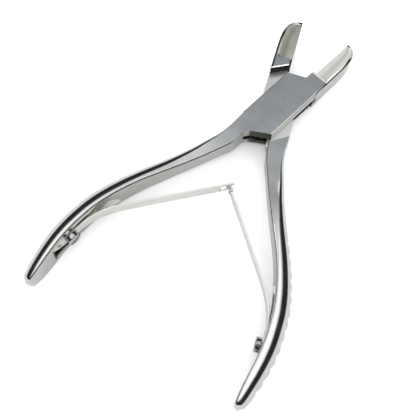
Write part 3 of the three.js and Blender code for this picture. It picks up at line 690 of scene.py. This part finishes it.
# ---- materials ----------------------------------------------------------------------------------
class Nodes:
    """Short names for building the node tree of a material or a world."""

    def __init__(self, owner):
        owner.use_nodes = True
        self.owner = owner
        self.tree = owner.node_tree
        self.shader = self.tree.nodes.get("Principled BSDF")

    def add(self, kind, inputs=None, **settings):
        node = self.tree.nodes.new(kind)
        for key, value in settings.items():
            setattr(node, key, value)
        for key, value in (inputs or {}).items():
            self.feed(node.inputs[key], value)
        return node

    def feed(self, socket, value):
        if isinstance(value, bpy.types.NodeSocket):
            self.tree.links.new(value, socket)
        else:
            socket.default_value = value

    def math(self, operation, a, b=0.0, clamp=False):
        node = self.add("ShaderNodeMath", {0: a, 1: b}, operation=operation, use_clamp=clamp)
        return node.outputs[0]

    def product(self, *factors):
        result = factors[0]
        for factor in factors[1:]:
            result = self.math("MULTIPLY", result, factor)
        return result

    def blend(self, a, share_a, b, share_b):
        return self.math("ADD", self.math("MULTIPLY", a, share_a), self.math("MULTIPLY", b, share_b))

    def ramp(self, value, low, high, out_low=0.0, out_high=1.0):
        node = self.add("ShaderNodeMapRange", interpolation_type="SMOOTHSTEP")
        sockets = ("Value", "From Min", "From Max", "To Min", "To Max")
        for key, given in zip(sockets, (value, low, high, out_low, out_high)):
            self.feed(node.inputs[key], given)
        return node.outputs[0]

    def mix(self, factor, a, b):
        node = self.add("ShaderNodeMix", data_type="RGBA")
        self.feed(node.inputs[0], factor)
        self.feed(node.inputs[6], a)
        self.feed(node.inputs[7], b)
        return node.outputs[2]

    def noise(self, vector, scale, detail=2.0, rough=0.5):
        inputs = {"Vector": vector, "Scale": scale, "Detail": detail, "Roughness": rough}
        return self.add("ShaderNodeTexNoise", inputs).outputs["Fac"]

    def turned(self, vector, turn):
        """A vector turned about Z."""
        inputs = {"Vector": vector, "Angle": turn}
        return self.add("ShaderNodeVectorRotate", inputs, rotation_type="Z_AXIS").outputs[0]

    def split(self, vector):
        return self.add("ShaderNodeSeparateXYZ", {0: vector}).outputs

    def stretched(self, turn, scale):
        """Object coordinates turned about Z and then scaled along each axis."""
        spot = self.turned(self.add("ShaderNodeTexCoord").outputs["Object"], turn)
        return self.add("ShaderNodeVectorMath", {0: spot, 1: scale}, operation="MULTIPLY").outputs[0]

    def normal(self, turn):
        """The parts of the surface's direction, turned about Z."""
        return self.split(self.turned(self.add("ShaderNodeNewGeometry").outputs["Normal"], turn))


EVEN = (1.0, 1.0, 1.0)

# Colours from and to which each finish wanders. The box half is 1 and the tang half is -1.
SATIN_TONES = (0.285, 0.303, 0.318, 1), (0.36, 0.373, 0.388, 1)
POLISHED_TONES = (0.56, 0.565, 0.555, 1), (0.62, 0.625, 0.615, 1)
# The hollows' tones are painted light and shade: lighter on the box half, darker and olive on the tang half.
HOLLOW_LIT_AND_SHADED_TONES = {
    1: ((0.86, 0.855, 0.80, 1), (0.93, 0.925, 0.88, 1)),
    -1: ((0.43, 0.43, 0.38, 1), (0.56, 0.56, 0.50, 1)),
}
TANG_TONES = (0.60, 0.60, 0.58, 1), (0.70, 0.70, 0.68, 1)
# Yellowish painted reflection on the channel floor toward the leaf's foot.
CHANNEL_REFLECTION_TONES = (0.16, 0.155, 0.13, 1), (0.62, 0.56, 0.40, 1)
SPRING_TONES = (0.80, 0.80, 0.775, 1), (0.87, 0.87, 0.85, 1)
SCREW_TONES = (0.40, 0.40, 0.40, 1), (0.62, 0.62, 0.61, 1)
# Painted shade on the recess walls, darker on the tang half.
WALL_SHADE_TONES = {1: (0.085, 0.085, 0.07, 1), -1: (0.016, 0.016, 0.014, 1)}
# Painted shade on the channel floor toward its start.
CHANNEL_SHADE_TONE = (0.22, 0.22, 0.20, 1)
# Painted shade in the slot that the tang turns in.
SLOT_SHADE_TONE = (0.02, 0.02, 0.02, 1)
# Painted highlight along the upper edge of the jaw step.
PAINTED_HIGHLIGHT_TONE = (0.85, 0.85, 0.84, 1)
HOLLOW_MATT = {1: 0.13, -1: 0.1}  # share of the hollows' finish that isn't metallic

# Places along a half in millimetres from the pivot, as the half lies when shut.
SATIN_FADE = {1: (-46.0, -21.0), -1: (-60.0, -40.0)}
GRIND_START = {1: 20.4, -1: HOLLOW_TANG}
SATIN_SKIN = 3.5  # satin lies further than this above or below the middle
RIM_FADE = (6.1, 6.4)
WALLS_FADE = (-25.0, -24.0)
CHANNEL_FADE = (-84.0, -73.5)
CHANNEL_REFLECTION_FADE = (-88.0, -80.0)
SLOT_SHADE_BACK = {1: -12.9, -1: -4.0}
STEP_FROM = 10.0


def half_steel(name, turn, side):
    """Forged steel: polished, with satin flats that fade out along the handle, and ground hollows."""
    n = Nodes(bpy.data.materials.new(name))
    x, y, z = n.split(n.stretched(-turn, (1 / MM,) * 3))
    across, along, facing = n.normal(-turn)
    off_middle = n.math("ABSOLUTE", n.math("SUBTRACT", z, MID))
    steep = n.math("ABSOLUTE", facing)
    level = n.ramp(steep, 0.93, 0.99)
    back = n.math("MULTIPLY", along, -1.0)
    in_jaw = n.ramp(y, GRIND_START[side], GRIND_START[side] + 0.8)
    behind_jaw = n.math("SUBTRACT", 1.0, in_jaw)
    skin = n.ramp(off_middle, SATIN_SKIN, SATIN_SKIN + 0.1)
    satin = n.product(level, n.ramp(y, *SATIN_FADE[side]), skin, behind_jaw)
    inside_rim = n.ramp(n.math("MULTIPLY", x, float(side)), *RIM_FADE, 1.0, 0.0)
    hollow = n.product(n.ramp(steep, 0.35, 0.6), in_jaw, inside_rim)
    tang = n.product(n.ramp(off_middle, 0.5, 1.0, 1.0, 0.0), level, behind_jaw)
    # Walls of the recesses that face back along the handles, painted near black as shade.
    wall = n.product(n.ramp(back, 0.6, 0.8), n.ramp(y, *WALLS_FADE))

    # The floor of the channel, which faces the other leaf: painted shade toward its start, and a yellowish
    # painted reflection toward the foot.
    inward = n.ramp(n.math("MULTIPLY", across, float(side)), 0.5, 0.7)
    low_enough = n.math("LESS_THAN", off_middle, CHANNEL_HEIGHT / 2 - 0.02)
    span = n.product(n.ramp(y, *CHANNEL_FADE, 1.0, 0.0), n.math("GREATER_THAN", y, -CHANNEL_END * REACH))
    painted_channel = n.product(inward, low_enough, span)

    # The sides of the slot that the tang turns in are painted dark as shade.
    upright = n.ramp(steep, 0.4, 0.6, 1.0, 0.0)
    layer = n.product(n.math("GREATER_THAN", z, SLOT_LOW - 0.05), n.math("LESS_THAN", z, SLOT_HIGH + 0.05))
    behind = n.math("GREATER_THAN", y, SLOT_SHADE_BACK[side])
    stretch = n.product(behind, n.math("LESS_THAN", y, SLOT_RADIUS - 0.1))
    painted_slot_shade = n.product(upright, layer, stretch, n.math("GREATER_THAN", x, 0.5 - HALF))

    # A painted highlight, white and not metallic, along the upper edge of the step behind the jaw.
    slope = n.product(n.ramp(facing, 0.4, 0.5), n.ramp(facing, 0.9, 0.95, 1.0, 0.0))
    painted_highlight = n.product(slope, n.ramp(back, 0.35, 0.5), n.math("GREATER_THAN", y, STEP_FROM))

    lines = n.noise(n.stretched(-turn + math.radians(6), (900.0, 30.0, 30.0)), 5.0, 3.0, 0.6)
    crossing = n.noise(n.stretched(-turn + math.radians(78), (760.0, 26.0, 26.0)), 5.0, 2.0, 0.55)
    cloud = n.noise(n.stretched(0.0, EVEN), 120.0, 3.0, 0.55)
    smudge = n.noise(n.stretched(0.0, EVEN), 260.0, 4.0, 0.6)
    polish = n.noise(n.stretched(-turn, (1.0, 0.12, 1.0)), 2600.0, 2.0, 0.5)

    brushed = n.blend(lines, 0.45, crossing, 0.55)
    mottled = n.blend(brushed, 0.62, cloud, 0.38)
    patches = n.ramp(cloud, 0.35, 0.7)
    tone = n.mix(n.ramp(smudge, 0.3, 0.75), *POLISHED_TONES)
    tone = n.mix(hollow, tone, n.mix(patches, *HOLLOW_LIT_AND_SHADED_TONES[side]))
    tone = n.mix(satin, tone, n.mix(n.ramp(mottled, 0.36, 0.64), *SATIN_TONES))
    tone = n.mix(tang, tone, n.mix(patches, *TANG_TONES))
    tone = n.mix(wall, tone, WALL_SHADE_TONES[side])
    painted_reflection = n.mix(n.ramp(smudge, 0.4, 0.65), *CHANNEL_REFLECTION_TONES)
    tone = n.mix(painted_channel, tone, n.mix(n.ramp(y, *CHANNEL_REFLECTION_FADE), painted_reflection, CHANNEL_SHADE_TONE))
    tone = n.mix(painted_slot_shade, tone, SLOT_SHADE_TONE)
    tone = n.mix(painted_highlight, tone, PAINTED_HIGHLIGHT_TONE)
    n.feed(n.shader.inputs["Base Color"], tone)
    matt = n.math("ADD", n.math("MULTIPLY", hollow, HOLLOW_MATT[side]), painted_highlight)
    n.feed(n.shader.inputs["Metallic"], n.math("SUBTRACT", 1.0, matt, clamp=True))

    rough = n.ramp(smudge, 0.25, 0.8, 0.08, 0.14)
    rough = n.math("ADD", rough, n.math("MULTIPLY", satin, n.ramp(brushed, 0.3, 0.7, 0.2, 0.3)))
    rough = n.math("ADD", rough, n.math("MULTIPLY", hollow, n.ramp(cloud, 0.3, 0.7, 0.4, 0.46)))
    rough = n.math("ADD", rough, n.math("MULTIPLY", tang, 0.3))
    n.feed(n.shader.inputs["Roughness"], rough)

    grain = n.math("ADD", n.math("MULTIPLY", brushed, satin), n.math("MULTIPLY", polish, 0.1))
    bump = n.add("ShaderNodeBump", {"Strength": 0.22, "Distance": 0.00005, "Height": grain})
    rounded = n.add("ShaderNodeBevel", {"Radius": 0.00012}, samples=4)
    n.feed(bump.inputs["Normal"], rounded.outputs[0])
    n.feed(n.shader.inputs["Normal"], bump.outputs[0])
    return n.owner


def finish_steel(n, tone, rough, bump_height, bump_strength, bump_distance):
    """Joins the colour, the roughness and the bump of an all-metal finish to its shader."""
    n.feed(n.shader.inputs["Base Color"], tone)
    n.shader.inputs["Metallic"].default_value = 1.0
    n.feed(n.shader.inputs["Roughness"], rough)
    inputs = {"Strength": bump_strength, "Distance": bump_distance, "Height": bump_height}
    n.feed(n.shader.inputs["Normal"], n.add("ShaderNodeBump", inputs).outputs[0])
    return n.owner


def spring_steel(name):
    """Drawn strip with faint lines along it and a cloudy sheen."""
    n = Nodes(bpy.data.materials.new(name))
    drawn = n.noise(n.stretched(0.0, (60.0, 60.0, 900.0)), 5.0, 3.0, 0.55)
    cloud = n.noise(n.stretched(0.0, EVEN), 150.0, 3.0, 0.6)
    tone = n.mix(n.ramp(n.blend(drawn, 0.5, cloud, 0.5), 0.35, 0.65), *SPRING_TONES)
    return finish_steel(n, tone, n.ramp(cloud, 0.25, 0.75, 0.3, 0.38), drawn, 0.03, 0.00002)


def screw_steel(name):
    """Darker turned steel with small tool marks."""
    n = Nodes(bpy.data.materials.new(name))
    marks = n.noise(n.stretched(0.0, EVEN), 1500.0, 2.0, 0.5)
    cloud = n.noise(n.stretched(0.0, EVEN), 420.0, 3.0, 0.6)
    tone = n.mix(n.ramp(cloud, 0.35, 0.7), *SCREW_TONES)
    return finish_steel(n, tone, n.ramp(marks, 0.3, 0.7, 0.1, 0.2), marks, 0.1, 0.00003)


# ---- pieces -------------------------------------------------------------------------------------
SMOOTH_UP_TO = math.radians(32)


def settle(obj, turn, material, replaced, body=None):
    """Turns a piece out to its resting place, in metres, and gives it its finish and its body."""
    obj.data.transform(Matrix.Scale(MM, 4) @ Matrix.Rotation(turn, 4, "Z"))
    outward(obj)
    obj.data.materials.clear()
    obj.data.materials.append(material)
    obj.data.shade_smooth()
    obj.data.set_sharp_from_angle(angle=SMOOTH_UP_TO)
    weighted = obj.modifiers.new("weighted", "WEIGHTED_NORMAL")
    weighted.keep_sharp = True
    weighted.weight = 60
    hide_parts(replaced)
    if body:
        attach(obj, body)


BOX_TURN, TANG_TURN = -OPEN_HALF, OPEN_HALF
steel_box = half_steel("forged_steel_box", BOX_TURN, 1)
steel_tang = half_steel("forged_steel_tang", TANG_TURN, -1)
spring = spring_steel("spring_steel")
dark = screw_steel("screw_steel")

settle(box_half("fine_box_half"), BOX_TURN, steel_box, "box_half", "box_body")
settle(tang_half("fine_tang_half"), TANG_TURN, steel_tang, "tang_half", "tang_body")
left_screw = mirrored(leaf_screw("fine_left_screw"))
settle(left_screw, BOX_TURN, dark, "left_spring_screw", "box_body")
right_screw = leaf_screw("fine_right_screw")
settle(right_screw, TANG_TURN, dark, "right_spring_screw", "tang_body")
left_pin = mirrored(foot_pin("fine_left_pin"))
settle(left_pin, BOX_TURN, dark, "left_locating_pin", "box_body")
right_pin = foot_pin("fine_right_pin")
settle(right_pin, TANG_TURN, dark, "right_locating_pin", "tang_body")
left_leaf = mirrored(forked_leaf("fine_left_leaf"))
settle(left_leaf, BOX_TURN, spring, "left_leaf_spring")
right_leaf = ball_leaf("fine_right_leaf")
settle(right_leaf, TANG_TURN, spring, "right_leaf_spring")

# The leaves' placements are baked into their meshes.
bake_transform(right_leaf)
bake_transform(left_leaf)

pin = frame["nodes"]["pivot_pin"]
pin.data.materials.clear()
pin.data.materials.append(steel_box)

# ---- floor, light and camera --------------------------------------------------------------------
FLOOR_HALF = 3.0
FLOOR_GAP = 0.0001  # below the tool
SEEN_FLOOR = (0.91, 0.91, 0.91, 1), (0.95, 0.95, 0.95, 1)
MIRRORED_FLOOR = (0.60, 0.60, 0.59, 1), (0.64, 0.64, 0.63, 1)  # as the steel reflects it

floor_level = CAD_BOUNDS[0][2] - FLOOR_GAP
corners = [(x * FLOOR_HALF, y * FLOOR_HALF, floor_level) for x, y in ((-1, -1), (1, -1), (1, 1), (-1, 1))]
floor_mesh = bpy.data.meshes.new("floor")
floor_mesh.from_pydata(corners, [], [(0, 1, 2, 3)])
floor = bpy.data.objects.new("floor", floor_mesh)
bpy.context.scene.collection.objects.link(floor)
pale = Nodes(bpy.data.materials.new("pale_floor"))
speck = pale.noise(pale.stretched(0.0, EVEN), 40.0, 2.0, 0.5)
bounced = pale.add("ShaderNodeLightPath").outputs["Is Glossy Ray"]
floor_tone = pale.mix(bounced, pale.mix(speck, *SEEN_FLOOR), pale.mix(speck, *MIRRORED_FLOOR))
pale.feed(pale.shader.inputs["Base Color"], floor_tone)
pale.shader.inputs["Roughness"].default_value = 0.9
pale.shader.inputs["Specular IOR Level"].default_value = 0.1
floor_mesh.materials.append(pale.owner)

# Polished steel shows a studio with two large white boxes, left and right, over dark walls with a
# pale strip at their foot. The floor and everything matt is lit by an even white dome. Heights are sines.
STRIP_TOP = (0.08, 0.13)
STRIP_TONE = 0.8
WALL_TOP = 0.64
BOX_FOOT = 0.84
WALL_TONE = 0.035
BOX_TONE = 1.7
GAP_TONE = 1.0
CAMERA_SIDE_TONE = 0.1
DOME_TONE = 1.8
GAP_ACROSS = (0.985, 0.174, 0.0)  # across the gap between the white boxes
GAP_SHIFT = 0.07
GAP_HALF = (0.12, 0.22)
GAP_FRONT = (-0.25, 0.1)  # where the gap turns from the tone of the camera's side to its own
BACKDROP_TONE = 1.0

world = bpy.data.worlds.new("studio")
bpy.context.scene.world = world
world.cycles.sampling_method = "NONE"
studio = Nodes(world)
studio.tree.nodes.clear()
way = studio.add("ShaderNodeTexCoord").outputs["Generated"]
_, ahead, height = studio.split(way)
beside = studio.add("ShaderNodeVectorMath", {0: way, 1: GAP_ACROSS}, operation="DOT_PRODUCT").outputs["Value"]
beside = studio.math("ABSOLUTE", studio.math("ADD", beside, GAP_SHIFT))
gap = studio.ramp(ahead, *GAP_FRONT, CAMERA_SIDE_TONE, GAP_TONE)
above = studio.ramp(beside, *GAP_HALF, gap, BOX_TONE)
wall = studio.ramp(height, *STRIP_TOP, STRIP_TONE, WALL_TONE)
shown = studio.ramp(height, WALL_TOP, BOX_FOOT, wall, above)
shiny = studio.add("ShaderNodeBackground", {"Color": shown})
dome = studio.add("ShaderNodeBackground", {"Color": (DOME_TONE, DOME_TONE, DOME_TONE, 1.0)})
plain = studio.add("ShaderNodeBackground", {"Color": (BACKDROP_TONE, BACKDROP_TONE, BACKDROP_TONE, 1.0)})
rays = studio.add("ShaderNodeLightPath").outputs
lit = studio.add("ShaderNodeMixShader", {0: rays["Is Glossy Ray"], 1: dome.outputs[0], 2: shiny.outputs[0]})
seen = studio.add("ShaderNodeMixShader", {0: rays["Is Camera Ray"], 1: lit.outputs[0], 2: plain.outputs[0]})
studio.add("ShaderNodeOutputWorld", {0: seen.outputs[0]})

CAMERA_PLACE = (0.045373, -0.151319, 0.250021)
AZIMUTH, ELEVATION, ROLL = math.radians(26.148), math.radians(66.179), math.radians(4.46)
FIELD_OF_VIEW = math.radians(33.461)

camera_data = bpy.data.cameras.new("camera")
camera_data.angle = FIELD_OF_VIEW
camera_data.clip_start = 0.01
camera = bpy.data.objects.new("camera", camera_data)
aim = Matrix.Rotation(AZIMUTH, 4, "Z") @ Matrix.Rotation(math.pi / 2 - ELEVATION, 4, "X")
camera.matrix_world = Matrix.Translation(CAMERA_PLACE) @ aim @ Matrix.Rotation(ROLL, 4, "Z")
bpy.context.scene.collection.objects.link(camera)
bpy.context.scene.camera = camera
bpy.context.scene.view_settings.view_transform = "Standard"

bpy.context.view_layer.update()
